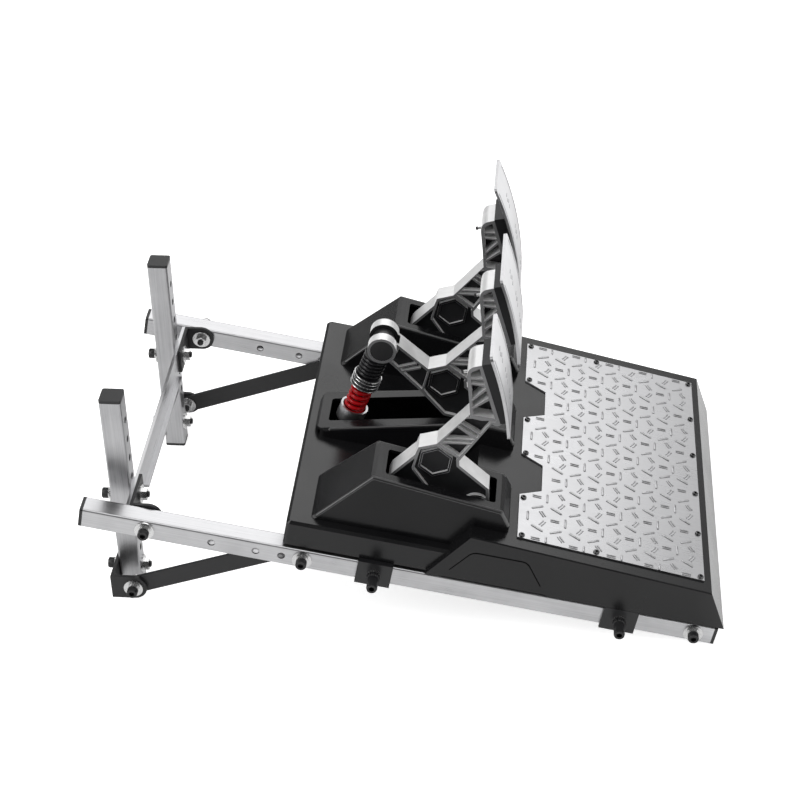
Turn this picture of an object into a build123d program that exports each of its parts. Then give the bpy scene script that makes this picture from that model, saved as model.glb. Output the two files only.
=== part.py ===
from build123d import *
import os
from math import asin, atan2, cos, degrees, hypot, radians, sin

# Square steel tube that the stand is cut from
tube = 20.0
tube_wall = 1.5
tube_corner = 2.0
bolt_hole = 6.6
open_hole = 7.0

# The two sloping rails, with places measured along the rail from its rear end
rail_length = 580.0
rail_gap = 294.0
rear_bolt_at = 57.0
first_open_hole = 118.0
second_open_hole = 158.5
third_open_hole = 182.0
brace_bolt_at = 201.0
front_bolt_at = 562.0

# The two upright posts
post_height = 220.0
post_gap = 210.0
post_setback = 14.7
post_first_hole = 25.0
post_hole_pitch = 21.0
post_hole_count = 9
cross_hole_number = 5

# Plastic caps pushed into the tube ends
cap_plate = 3.0
cap_plug = 10.0
cap_clearance = 0.1

# Flat steel brackets and braces
bracket_plate = 3.0
bracket_height = 25.0
bracket_overlap = 4.0
brace_width = 18.0
lower_bolt_forward = 18.0
front_bracket_reach = 22.0
cross_tube_clearance = 3.0
strap_thickness = 3.0
strap_lip = 5.0
strap_lip_clearance = 12.0

# Screws, washers and nuts
bolt_diameter = 6.0
bolt_head = 10.0
bolt_head_height = 6.0
bolt_tail = 2.0
spring_washer_thickness = 2.0
washer_diameter = 18.0
washer_thickness = 1.5
nut_width = 10.0
nut_height = 5.0
thread_fit = 0.05

# Clamps that hold the pedal base to the rails
clamp_width = 32.0
clamp_drop = 22.0
clamp_reach = 26.0
rear_clamp_at = 267.0
front_clamp_at = 493.0
clamp_screw_stand = 21.3
clamp_head = 10.5
clamp_head_height = 14.0
clamp_screw_depth = 12.0
clamp_screw_level = 8.5

# Moulded base of the pedals, in lengths along the rails and heights above them
base_wall = 3.0
base_start = 181.0
base_end = 587.0
tray_half_width = 165.0
tray_height = 29.0
platform_half_width = 170.0
platform_side_draft = 1.0
platform_start = 312.0
platform_rise = 33.0
platform_rear_height = 53.5
platform_front_height = 40.5
platform_front_slant = 21.0
platform_edge_width = 1.0
platform_edge_drop = 1.0
tray_edge_chamfer = 2.5
tray_corner = 5.0
side_panel_start = 13.0
side_panel_depth = 1.2
side_panel_rise = 37.5
side_panel_length = 50.0
side_panel_lean = 24.0
side_panel_corner = 10.0
floor_plate = 2.0
floor_front_gap = 15.0
fit_gap = 0.3

# Bright tread plate on the platform
tread_half_width = 155.0
tread_gap = 6.8
tread_length = 173.5
tread_thickness = 1.5
notch_middles = (57.6, -62.3)
notch_mouth = 62.5
notch_floor = 38.8
notch_depth = 20.7

# Pivots of the pedals
pedal_pitch = 122.0
pivot_at = 345.0
pivot_height = 60.0
pin_diameter = 8.0
pin_fit = 0.1
boss_radius = 12.0
cheek_thickness = 3.0
cheek_gap = 1.0
cheek_width = 26.0

# Housings round the pedals, in lengths from the pivot and heights above the rails
housing_half_width = 28.0
housing_foot_spread = 4.5
housing_behind = 143.0
housing_back_run = 47.0
housing_back_height = 84.5
housing_front_ahead = 23.0
housing_front_height = 73.0
housing_ahead = 34.0
housing_nose_back = 2.0
housing_nose_height = 60.0
housing_chamfer = 2.5
housing_foot_corner = 5.0
housing_open_foot = 4.5
brake_housing_behind = 155.0
brake_housing_rear_height = 35.3
brake_housing_peak_behind = 10.0
brake_housing_peak_height = 74.0
brake_housing_corner = 14.0
slot_half_width = 18.0
slot_corner = 3.0
slot_behind = 85.5
brake_slot_behind = 144.0
slot_ahead = 16.0

# Pedal pads: each face plate's middle from its pivot, and its lean
pad_behind = 2.8
pad_above = 137.6
brake_pad_ahead = 4.8
face_lean = 21.5
face_radius = 320.0
face_thickness = 2.5
face_corner = 4.0
clutch_face_width = 73.0
clutch_face_height = 86.0
brake_face_width = 88.0
brake_face_height = 92.0
gas_face_width = 63.0
gas_face_height = 129.0
spacer_half_width = 20.0
head_top = 24.3
spacer_up = 27.0
spacer_down = 36.0
spacer_top_depth = 13.2
spacer_bottom_depth = 8.3

# Cast pedal arms. Pairs are how far behind the pivot and above it, or up the pad and behind it
arm_half_width = 10.0
arm_web = 8.0
arm_flange = 2.6
head_half_width = 16.5
head_corner = 8.5
arm_shoulder = [(61.5, 52.5), (46.5, 60.0)]
arm_throat = [(23.7, 46.0), (22.5, 41.0)]
arm_leg = [(-8.0, 21.0), (-11.0, 4.0)]
arm_belly = (27.5, 3.0)
arm_tail = [(78.0, 2.0), (82.0, 12.0), (80.5, 18.0), (63.0, 44.0)]
brake_branch = [(38.0, 3.7), (64.0, 26.0), (99.0, 52.0), (94.5, 73.0)]
head_rear = [(-28.5, 33.6), (-5.0, 30.6), (15.0, 28.6), (23.4, 25.4)]
head_foot = (-37.5, 12.9)
screw_boss_at = (-40.0, 12.6)
screw_boss_radius = 5.0
side_sink = 4.0
rib_width = 1.8
arm_ribs = [((60.5, 51.5), (62.3, 28.0)), ((62.3, 28.0), (46.0, 10.0))]
brake_ribs = [((91.7, 45.8), (73.4, 55.3)), ((87.8, 42.8), (68.7, 51.8))]
hexagon_middle = (44.0, 39.5)
hexagon_radius = 16.4
hexagon_rim = 2.4
hexagon_rim_sink = 0.6
hexagon_face_sink = 3.0

# Openwork of the arms: rear and front sides of the neck and the head, and the shares where each pocket turns
neck_rear_side = [(45.7, 57.8), (22.7, 100.0)]
neck_front_side = [(25.5, 48.5), (0.8, 101.2)]
head_rear_side = [(-27.7, 31.0), (20.0, 24.6)]
head_front_side = [(-34.6, 12.6), (21.0, 16.3)]
neck_pockets = [((0.08,), (0.33, 0.04)), ((0.13, 0.205), (0.42, 0.352)), ((0.235, 0.575), (0.445,)),
                ((0.61, 0.675), (0.56, 0.495)), ((0.70, 0.83), (0.94, 0.585)), ((0.855, 0.90), (1.0, 0.965))]
head_pockets = [((0.05, 0.17), (0.40, 0.05)), ((0.21, 0.345), (0.585, 0.445)), ((0.385, 0.71), (0.66, 0.63)),
                ((0.74, 0.825), (0.785, 0.695)), ((0.855, 0.97), (1.0, 0.815))]

# Spring strut of the brake, from the knuckle on the arm down to the cup
knuckle_behind = 107.5
knuckle_above = 67.3
knuckle_radius = 13.5
knuckle_half_width = 17.5
knuckle_gap = 7.0
knuckle_clearance = 2.0
pin_head_diameter = 21.5
pin_head_height = 1.0
strut_foot_ahead = -18.9
strut_foot_rise = 20.0
cup_diameter = 27.0
cup_height = 15.0
cup_wall = 2.0
cup_stand = 9.0
red_spring_diameter = 21.5
red_spring_wire = 3.0
red_spring_turns = 5
collar_diameter = 27.0
collar_height = 12.0
collar_wall = 2.25
collar_top_wall = 3.0
collar_at = 51.0
ring_groove = 1.2
black_spring_diameter = 24.0
black_spring_wire = 2.6
black_spring_turns = 7
rod_diameter = 8.0
rod_fit = 1.0
rod_seat = 2.5
rod_seat_gap = 1.5
rod_end_gap = 2.0
eye_radius = 10.0
eye_side_gap = 1.0
foot_eye_radius = 8.0
strut_pin_diameter = 6.0

# Worked out from the sizes above
half_tube = tube / 2
cross_height = post_first_hole + (cross_hole_number - 1) * post_hole_pitch
rail_reach = rail_length + cap_plate - rear_bolt_at
rail_slope = degrees(asin(cross_height / hypot(rail_reach, half_tube)) - atan2(half_tube, rail_reach))
slope_cos = cos(radians(rail_slope))
slope_sin = sin(radians(rail_slope))
rail_rear_top = (rail_length + cap_plate) * slope_sin + tube * slope_cos
rail_inner = rail_gap / 2
rail_middle = rail_inner + half_tube
rail_outer = rail_inner + tube
post_middle = post_gap / 2 + half_tube
post_back = -post_setback
post_front = post_back - tube
bracket_inner = rail_inner - bracket_plate
base_bottom = bracket_plate
floor_top = base_bottom + floor_plate
housing_start = pivot_at - housing_behind
housing_front_start = pivot_at + housing_front_ahead
housing_end = pivot_at + housing_ahead
brake_housing_start = pivot_at - brake_housing_behind
slot_end = pivot_at + slot_ahead
tread_start = housing_end + tread_gap
tread_end = tread_start + tread_length
face_mid_at = pivot_at - pad_behind
face_mid_height = pivot_height + pad_above
knuckle_at = pivot_at - knuckle_behind
knuckle_height = pivot_height + knuckle_above
strut_foot_at = knuckle_at + strut_foot_ahead
strut_foot_height = floor_top + strut_foot_rise
rails_place = Pos(0, 0, rail_rear_top) * Rot(X=rail_slope)

TOWARDS_LEFT = Rot(Y=-90)
TOWARDS_RIGHT = Rot(Y=90)
TOWARDS_REAR = Rot(X=-90)
TOWARDS_FRONT = Rot(X=90)


def rail_point(along, height):
    """World Y and Z of a point given along the rail and square to it."""
    y = -along * slope_cos - height * slope_sin
    z = rail_rear_top - along * slope_sin + height * slope_cos
    return y, z


def slab(x, y, z):
    """A plain block between two values on each axis."""
    size = [max(a) - min(a) for a in (x, y, z)]
    middle = [sum(a) / 2 for a in (x, y, z)]
    return Pos(*middle) * Box(*size)


def side_face(points):
    """A face in the side view, from places along the rail and heights above it."""
    return make_face(Polyline(*[(0, -along, height) for along, height in points], close=True))


def across(face, half_width, x=0.0):
    """A side-view face given its width across the stand."""
    return Pos(x, 0, 0) * extrude(face, amount=half_width, dir=(1, 0, 0), both=True)


# Tubes
def square_tube(length):
    """A hollow square tube standing on the origin."""
    wall_face = RectangleRounded(tube, tube, tube_corner) - Rectangle(tube - 2 * tube_wall, tube - 2 * tube_wall)
    return extrude(wall_face, length)


def end_cap():
    """A cap whose plate lies below the origin and whose plug goes up into the tube."""
    plate = extrude(RectangleRounded(tube, tube, tube_corner), -cap_plate)
    plug_side = tube - 2 * tube_wall - 2 * cap_clearance
    return plate + extrude(Rectangle(plug_side, plug_side), cap_plug)


def cross_drill(x, y, z, direction, diameter):
    """A drill long enough for one tube, centred on a point."""
    return Pos(x, y, z) * direction * Cylinder(diameter / 2, tube + 2 * bracket_plate)


def rail(side):
    """One sloping rail in the rails' own frame."""
    body = Pos(side * rail_middle, 0, -half_tube) * TOWARDS_FRONT * square_tube(rail_length)
    for along in (rear_bolt_at, brace_bolt_at, front_bolt_at):
        body -= cross_drill(side * rail_middle, -along, -half_tube, TOWARDS_RIGHT, bolt_hole)
    for along in (first_open_hole, second_open_hole, third_open_hole):
        body -= cross_drill(side * rail_middle, -along, -half_tube, TOWARDS_RIGHT, open_hole)
    for along in (rear_clamp_at, front_clamp_at):
        screw_hole = Pos(side * rail_outer, -along, -clamp_screw_level) * TOWARDS_RIGHT
        body -= screw_hole * Cylinder(bolt_hole / 2, 4 * tube_wall)
    return body


def rail_caps(side):
    """The caps at both ends of one rail."""
    rear = Pos(side * rail_middle, 0, -half_tube) * TOWARDS_FRONT * end_cap()
    front = Pos(side * rail_middle, -rail_length, -half_tube) * TOWARDS_REAR * end_cap()
    return [rails_place * rear, rails_place * front]


def post(side):
    """One upright post with its row of holes."""
    middle_y = post_back - half_tube
    body = Pos(side * post_middle, middle_y, cap_plate) * square_tube(post_height - 2 * cap_plate)
    for number in range(post_hole_count):
        height = post_first_hole + number * post_hole_pitch
        body -= cross_drill(side * post_middle, middle_y, height, TOWARDS_REAR, bolt_hole)
    return body


def post_caps(side):
    """The caps at both ends of one post."""
    place = Pos(side * post_middle, post_back - half_tube, cap_plate)
    top = Pos(0, 0, post_height - 2 * cap_plate) * Rot(X=180) * end_cap()
    return [place * end_cap(), place * top]


def front_cross_tube():
    """A tube from rail to rail, centred on the origin, that ends short of the rail bolts' nuts."""
    length = 2 * (bracket_inner - washer_thickness - nut_height - bolt_tail - cross_tube_clearance)
    body = Pos(-length / 2, 0, 0) * TOWARDS_RIGHT * square_tube(length)
    for side in (-1, 1):
        body -= cross_drill(side * post_middle, 0, 0, TOWARDS_REAR, bolt_hole)
    return body


def rear_strap():
    """The flat bar across the posts, with a short lip along its lower edge between the brackets."""
    y = (post_front - strap_thickness, post_front)
    bottom = cross_height - bracket_height / 2
    bar = slab((-rail_inner, rail_inner), y, (bottom, bottom + bracket_height))
    lip_half = post_middle - half_tube - bracket_overlap - strap_lip_clearance
    lip = slab((-lip_half, lip_half), (post_front - strap_thickness - strap_lip, post_front),
               (bottom, bottom + strap_thickness))
    bar += lip
    for side in (-1, 1):
        bar -= cross_drill(side * post_middle, post_front, cross_height, TOWARDS_REAR, bolt_hole)
    return bar


# Brackets and braces
def angle_bracket(side, reach, outer_face):
    """An angle whose bend is at the origin: one leg runs inwards, the other along -Y to a round end.

    outer_face is where the outside of the leg beside the rail lies, and reach is how far its hole is."""
    leg_end = post_middle - half_tube - bracket_overlap
    inward = slab((side * leg_end, side * outer_face), (-bracket_plate, 0), (-bracket_height / 2, bracket_height / 2))
    inward -= cross_drill(side * post_middle, 0, 0, TOWARDS_REAR, bolt_hole)
    straight = slab((side * (outer_face - bracket_plate), side * outer_face), (-reach, 0),
                    (-bracket_height / 2, bracket_height / 2))
    end_place = Pos(side * (outer_face - bracket_plate / 2), -reach, 0) * TOWARDS_RIGHT
    forward = straight + end_place * Cylinder(bracket_height / 2, bracket_plate)
    forward -= end_place * Cylinder(bolt_hole / 2, 2 * bracket_plate)
    return inward + forward


def upper_bracket(side):
    """The bracket that ties the post and the rear strap to the rail."""
    bolt_y = rail_point(rear_bolt_at, -half_tube)[0]
    back = post_front - strap_thickness
    return Pos(0, back, cross_height) * angle_bracket(side, back - bolt_y, rail_inner)


def lower_bracket(side):
    """The bracket behind a post's foot, which carries the brace outside the post."""
    leg_outer = rail_inner + bracket_plate
    reach = bracket_plate + lower_bolt_forward
    place = Pos(0, post_back + bracket_plate, post_first_hole)
    return place * angle_bracket(side, reach, leg_outer)


def front_bracket(side):
    """The bracket that ties the front cross tube to a rail, with its bend towards the rear."""
    bend = Pos(0, -front_bolt_at + front_bracket_reach, -half_tube)
    return rails_place * bend * angle_bracket(side, front_bracket_reach, rail_inner)


def brace(side):
    """A flat bar from the lower bracket up to the rail."""
    low_y = post_back - lower_bolt_forward
    low_z = post_first_hole
    high_y, high_z = rail_point(brace_bolt_at, -half_tube)
    length = hypot(high_y - low_y, high_z - low_z)
    angle = degrees(atan2(high_z - low_z, low_y - high_y))
    bar = extrude(SlotCenterToCenter(length, brace_width), bracket_plate / 2, both=True)
    for end in (-1, 1):
        bar -= Pos(end * length / 2, 0, 0) * Cylinder(bolt_hole / 2, 2 * bracket_plate)
    upright = Rot(X=-angle) * Rot(X=90) * Rot(Y=90) * bar
    return Pos(side * (rail_inner - bracket_plate / 2), (low_y + high_y) / 2, (low_z + high_z) / 2) * upright


def clamp_bracket(side, along):
    """An angle plate on a rail's outer face, with its flange under the base."""
    plate = slab((side * rail_outer, side * (rail_outer + bracket_plate)),
                 (-along - clamp_width / 2, -along + clamp_width / 2), (-clamp_drop, bracket_plate))
    flange = slab((side * (rail_outer - clamp_reach), side * rail_outer),
                  (-along - clamp_width / 2, -along + clamp_width / 2), (0, bracket_plate))
    hole = Pos(side * rail_outer, -along, -clamp_screw_level) * TOWARDS_RIGHT
    return rails_place * (plate + flange - hole * Cylinder(bolt_hole / 2, 4 * bracket_plate))


# Screws
def washer(outer, thickness):
    """A flat ring standing on the origin."""
    ring = Circle(outer / 2) - Circle(bolt_hole / 2)
    return extrude(ring, thickness)


def hexagon_nut():
    """A nut standing on the origin."""
    face = RegularPolygon(nut_width / 2, 6, major_radius=False) - Circle(bolt_diameter / 2 + thread_fit)
    return extrude(face, nut_height)


frame_bolts = []
frame_washers = []
frame_nuts = []
clamp_screws = []


def bolt_through(place, grip):
    """A screw with both washers and its nut; place has its origin on the seat and +Z out of it."""
    head_seat = washer_thickness + spring_washer_thickness
    shank_end = grip + washer_thickness + nut_height + bolt_tail
    head = Pos(0, 0, head_seat + bolt_head_height / 2) * Cylinder(bolt_head / 2, bolt_head_height)
    shank = Pos(0, 0, (head_seat - shank_end) / 2) * Cylinder(bolt_diameter / 2, head_seat + shank_end)
    frame_bolts.append(place * (head + shank))
    frame_washers.append(place * washer(washer_diameter, washer_thickness))
    frame_washers.append(place * Pos(0, 0, washer_thickness) * washer(bolt_head, spring_washer_thickness))
    frame_washers.append(place * Pos(0, 0, -grip - washer_thickness) * washer(washer_diameter, washer_thickness))
    frame_nuts.append(place * Pos(0, 0, -grip - washer_thickness - nut_height) * hexagon_nut())


def clamp_screw(place):
    """A long screw that stands out of a clamp plate, held by a nut."""
    shank_top = clamp_screw_stand - clamp_head_height
    head = Pos(0, 0, shank_top + clamp_head_height / 2) * Cylinder(clamp_head / 2, clamp_head_height)
    shank = Pos(0, 0, (shank_top - clamp_screw_depth) / 2)
    shank *= Cylinder(bolt_diameter / 2, shank_top + clamp_screw_depth)
    clamp_screws.append(place * (head + shank))
    frame_nuts.append(place * hexagon_nut())


def fasten_side(side, outward):
    """Every screw on one side of the stand."""
    for along in (rear_bolt_at, brace_bolt_at, front_bolt_at):
        seat = rails_place * Pos(side * rail_outer, -along, -half_tube) * outward
        bolt_through(seat, tube + bracket_plate)
    low = Pos(side * (rail_inner + bracket_plate), post_back - lower_bolt_forward, post_first_hole)
    bolt_through(low * outward, 2 * bracket_plate)
    upper = Pos(side * post_middle, post_back, cross_height) * TOWARDS_REAR
    bolt_through(upper, tube + strap_thickness + bracket_plate)
    lower = Pos(side * post_middle, post_back + bracket_plate, post_first_hole) * TOWARDS_REAR
    bolt_through(lower, tube + bracket_plate)
    front_tube = Pos(side * post_middle, -front_bolt_at + front_bracket_reach, -half_tube) * TOWARDS_REAR
    bolt_through(rails_place * front_tube, tube + bracket_plate)
    for along in (rear_clamp_at, front_clamp_at):
        seat = Pos(side * (rail_outer + bracket_plate), -along, -clamp_screw_level) * outward
        clamp_screw(rails_place * seat)


# Pedal base
def deck_height(along):
    """Height of the platform's top above the rails."""
    span = base_end - platform_front_slant - platform_start - platform_rise
    share = (along - platform_start - platform_rise) / span
    return platform_rear_height + share * (platform_front_height - platform_rear_height)


def tray_solid(inset):
    """The low rear part of the base, or the room inside it."""
    x = tray_half_width - inset
    y = (-base_start - inset, -platform_start - platform_rise)
    bottom = base_bottom - inset
    block = slab((-x, x), y, (bottom, tray_height - inset))
    if inset:
        return block
    rear = block.faces().sort_by(Axis.Y)[-1]
    block = fillet(rear.edges().filter_by(Axis.Z), tray_corner)
    top = block.faces().sort_by(Axis.Z)[-1]
    return chamfer(top.edges().filter_by(lambda e: e.center().Y > y[1] + 1), tray_edge_chamfer)


def platform_block(inset):
    """The raised front part's plain form, with its sloping edges, or that form drawn in by a wall."""
    front_top = base_end - platform_front_slant
    rear_top = platform_start + platform_rise
    side = side_face([(platform_start, base_bottom), (rear_top, platform_rear_height),
                      (front_top, platform_front_height), (base_end, base_bottom)])
    side = offset(side, -inset, kind=Kind.INTERSECTION) if inset else side
    block = across(side, platform_half_width - inset)
    top_angle = degrees(atan2(platform_rear_height - platform_front_height, front_top - rear_top))
    edge_half = platform_half_width - platform_side_draft
    top_half = edge_half - platform_edge_width
    depth = 2 * platform_rear_height
    foot_half = edge_half + platform_side_draft * depth / platform_rear_height
    outline = [(top_half, 0), (edge_half, -platform_edge_drop), (foot_half, -depth)]
    outline += [(-x, z) for x, z in reversed(outline)]
    section = make_face(Polyline(*[(x, 0, z) for x, z in outline], close=True))
    section = offset(section, -inset, kind=Kind.INTERSECTION) if inset else section
    bar = extrude(section, amount=base_end, dir=(0, 1, 0), both=True)
    return block & Pos(0, -rear_top, platform_rear_height) * Rot(X=top_angle) * bar


def platform_solid():
    """The raised front part with a shallow panel in each side."""
    low, high = base_bottom, side_panel_rise
    rear = platform_start + side_panel_start
    outline = [(rear, low), (rear + side_panel_lean, high), (rear + side_panel_lean + side_panel_length, high),
               (rear + 2 * side_panel_lean + side_panel_length, low)]
    face = side_face(outline)
    face = fillet(face.vertices().sort_by(Axis.Z)[-2:], side_panel_corner)
    core = platform_block(side_panel_depth)
    core += Pos(0, 0, -2 * side_panel_depth) * core
    return platform_block(0) - (across(face, platform_half_width) - core)


def platform_room():
    """The room inside the raised part, open below."""
    rear, front = platform_start + 2 * base_wall, base_end - 3 * base_wall
    height = 2 * base_wall
    mouth = side_face([(rear, 0), (rear + height, height), (front - base_wall, height), (front, 0)])
    return platform_block(base_wall) + across(mouth, platform_half_width - platform_side_draft - base_wall)


def housing_profile(is_brake):
    """Side view of a housing from below the deck up to its rim."""
    low = base_bottom + base_wall
    front = [(housing_front_start, housing_front_height), (housing_end - housing_nose_back, housing_nose_height),
             (housing_end, low)]
    if is_brake:
        rear = [(brake_housing_start, low), (brake_housing_start, brake_housing_rear_height),
                (pivot_at - brake_housing_peak_behind, brake_housing_peak_height)]
    else:
        rear = [(housing_start, low), (housing_start, tray_height),
                (housing_start + housing_back_run, housing_back_height)]
    return rear + front


def housing_block(is_brake, inset):
    """A housing's plain form between its leaning sides, or that form drawn in by a wall."""
    side = side_face(housing_profile(is_brake))
    side = offset(side, -inset, kind=Kind.INTERSECTION) if inset else side
    block = across(side, 2 * housing_half_width)
    top_half = housing_half_width - inset
    foot_half = top_half + housing_foot_spread
    section = [(-foot_half, tray_height), (-top_half, housing_back_height), (top_half, housing_back_height),
               (foot_half, tray_height), (foot_half, -tray_height), (-foot_half, -tray_height)]
    bar = make_face(Polyline(*[(x, 0, z) for x, z in section], close=True))
    return block & extrude(bar, amount=base_end, dir=(0, 1, 0), both=True)


def housing_solid(is_brake):
    """A housing's outer form with its upper edges chamfered and its rear corners rounded in plan."""
    block = housing_block(is_brake, 0)
    upper = block.edges().filter_by(lambda e: e.center().Z > tray_height + housing_chamfer)
    block = chamfer(upper, housing_chamfer)
    start = brake_housing_start if is_brake else housing_start
    corner = brake_housing_corner if is_brake else housing_foot_corner
    length = housing_end + 2 * corner - start
    plan = RectangleRounded(2 * (housing_half_width + housing_foot_spread), length, corner)
    return block & Pos(0, -start - length / 2, 0) * extrude(plan, 2 * housing_back_height)


def base_deck_solid():
    """The moulded deck: tray and platform, open below and under the housings."""
    shell = tray_solid(0) + platform_solid() - tray_solid(base_wall) - platform_room()
    for x, is_brake in ((-pedal_pitch, False), (0, True), (pedal_pitch, False)):
        shell -= Pos(x, 0, 0) * housing_solid(is_brake)
    return shell


def housing(is_brake):
    """One housing, a thin shell standing on the deck, with the slot its pedal moves in."""
    inside = housing_block(is_brake, base_wall)
    shell = housing_solid(is_brake) - inside - Pos(0, 0, -housing_open_foot) * inside
    start = pivot_at - (brake_slot_behind if is_brake else slot_behind)
    slot = extrude(RectangleRounded(2 * slot_half_width, slot_end - start, slot_corner), 2 * housing_back_height)
    shell -= Pos(0, -(start + slot_end) / 2, base_bottom) * slot
    return shell - slab((-pedal_pitch, pedal_pitch), (0, -2 * base_end), (0, floor_top + fit_gap))


def base_floor_solid():
    """The steel floor that closes the base below and carries the pivots."""
    half = tray_half_width - base_wall - fit_gap
    y = (-base_start - base_wall - fit_gap, -base_end + floor_front_gap)
    return slab((-half, half), y, (base_bottom, floor_top))


def tread_plate():
    """The bright plate that the heels rest on, with a notch in its rear edge on each side of the brake."""
    start = deck_height(tread_start)
    end = deck_height(tread_end)
    face = side_face([(tread_start, start), (tread_end, end), (tread_end, end + tread_thickness),
                      (tread_start, start + tread_thickness)])
    rear, floor = -tread_start, -tread_start - notch_depth
    mouth_half, floor_half = notch_mouth / 2, notch_floor / 2
    notch = make_face(Polyline((-mouth_half, rear + fit_gap, 0), (mouth_half, rear + fit_gap, 0),
                               (floor_half, floor, 0), (-floor_half, floor, 0), close=True))
    plate = across(face, tread_half_width)
    for x in notch_middles:
        plate -= Pos(x, 0, 0) * extrude(notch, 2 * platform_rear_height)
    return plate


# Pivots
def pivot_bracket():
    """A folded channel on the floor, whose two cheeks hold the pivot pin."""
    inner = arm_half_width + cheek_gap
    outer = inner + cheek_thickness
    rear, front = pivot_at - cheek_width / 2, pivot_at + cheek_width / 2
    cheek = side_face([(rear, floor_top), (front, floor_top), (front, pivot_height), (rear, pivot_height)])
    block = across(cheek, outer)
    block += Pos(0, -pivot_at, pivot_height) * TOWARDS_RIGHT * Cylinder(cheek_width / 2, 2 * outer)
    room = slab((-inner, inner), (-pivot_at - cheek_width, -pivot_at + cheek_width),
                (floor_top + cheek_thickness, pivot_height + cheek_width))
    bore = Pos(0, -pivot_at, pivot_height) * TOWARDS_RIGHT * Cylinder(pin_diameter / 2, 4 * outer)
    return block - room - bore


def pivot_pin():
    """The pin that a pedal turns on."""
    length = 2 * (arm_half_width + cheek_gap + cheek_thickness)
    return Pos(0, -pivot_at, pivot_height) * TOWARDS_RIGHT * Cylinder(pin_diameter / 2, length)


# Pedal arms
def pad_point(along_face, behind, is_brake=False):
    """Place and height of a point on the pad, from its middle up the face and square behind it."""
    lean = radians(face_lean)
    behind -= brake_pad_ahead if is_brake else 0
    along = face_mid_at - along_face * sin(lean) - behind * cos(lean)
    height = face_mid_height + along_face * cos(lean) - behind * sin(lean)
    return along, height


def from_pivot(behind, above):
    """Place and height of a point given from the pivot."""
    return pivot_at - behind, pivot_height + above


def arm_outline(is_brake):
    """Outline of an arm in the side view, without its head."""
    neck = [pad_point(*head_rear[0], is_brake), pad_point(*head_foot, is_brake)]
    front = [from_pivot(*point) for point in arm_throat + arm_leg]
    under = [from_pivot(0, -boss_radius), from_pivot(*arm_belly)]
    rear = [from_pivot(*point) for point in (brake_branch if is_brake else arm_tail)]
    return [from_pivot(*point) for point in arm_shoulder] + neck + front + under + rear


def seat_depth(along_face):
    """How far behind the face a spacer's back is, at a place up the face."""
    share = (along_face + spacer_down) / (spacer_up + spacer_down)
    return spacer_bottom_depth + share * (spacer_top_depth - spacer_bottom_depth)


def head_outline(is_brake):
    """Outline of the arm's wide head, behind the spacer."""
    seat = [(head_top, seat_depth(head_top)), (-spacer_down, spacer_bottom_depth)]
    return [pad_point(*point, is_brake) for point in head_rear + seat + [head_foot]]


def neck_sides(is_brake):
    """The rear and front sides of the neck's openwork; the brake's leans with its pad."""
    low_rear, high_rear = [from_pivot(*point) for point in neck_rear_side]
    low_front, high_front = [from_pivot(*point) for point in neck_front_side]
    ahead = brake_pad_ahead if is_brake else 0
    rear = [low_rear, (high_rear[0] + ahead, high_rear[1])]
    return rear, [low_front, (high_front[0] + ahead, high_front[1])]


def side_corners(side, shares):
    """Points at the given shares of the way along one side of the openwork."""
    start, end = side
    return [tuple(a + share * (b - a) for a, b in zip(start, end)) for share in shares]


def openwork(is_brake):
    """The pockets of one arm, as faces in the side view."""
    faces = []
    for rear_shares, front_shares in neck_pockets:
        rear, front = neck_sides(is_brake)
        faces.append(side_face(side_corners(rear, rear_shares) + side_corners(front, front_shares)))
    for rear_shares, front_shares in head_pockets:
        rear, front = [[pad_point(*point, is_brake) for point in side] for side in (head_rear_side, head_front_side)]
        faces.append(side_face(side_corners(rear, rear_shares) + side_corners(front, front_shares)))
    return faces


def neck_face(is_brake):
    """The part of an arm that only the openwork is cut into."""
    rear, front = neck_sides(is_brake)
    return side_face(rear + front[::-1])


def hexagon(radius):
    """The hexagon on an arm's side, with a corner upwards."""
    behind, above = from_pivot(*hexagon_middle)
    corners = [radians(60 * number + 30) for number in range(6)]
    return side_face([(behind + radius * cos(a), above + radius * sin(a)) for a in corners])


def side_rib(start, end):
    """A straight rib on an arm's side, as a face in the side view."""
    along, height = from_pivot(*start)
    end_along, end_height = from_pivot(*end)
    length = hypot(end_along - along, end_height - height)
    step_along = (end_height - height) / length * rib_width / 2
    step_height = (along - end_along) / length * rib_width / 2
    return side_face([(along + step_along, height + step_height), (end_along + step_along, end_height + step_height),
                      (end_along - step_along, end_height - step_height),
                      (along - step_along, height - step_height)])


def both_sides(face, inner, outer):
    """A side-view face given thickness on both sides of an arm, between two half widths."""
    depth = (outer - inner) / 2
    return [across(face, depth, side * (inner + depth)) for side in (-1, 1)]


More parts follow.
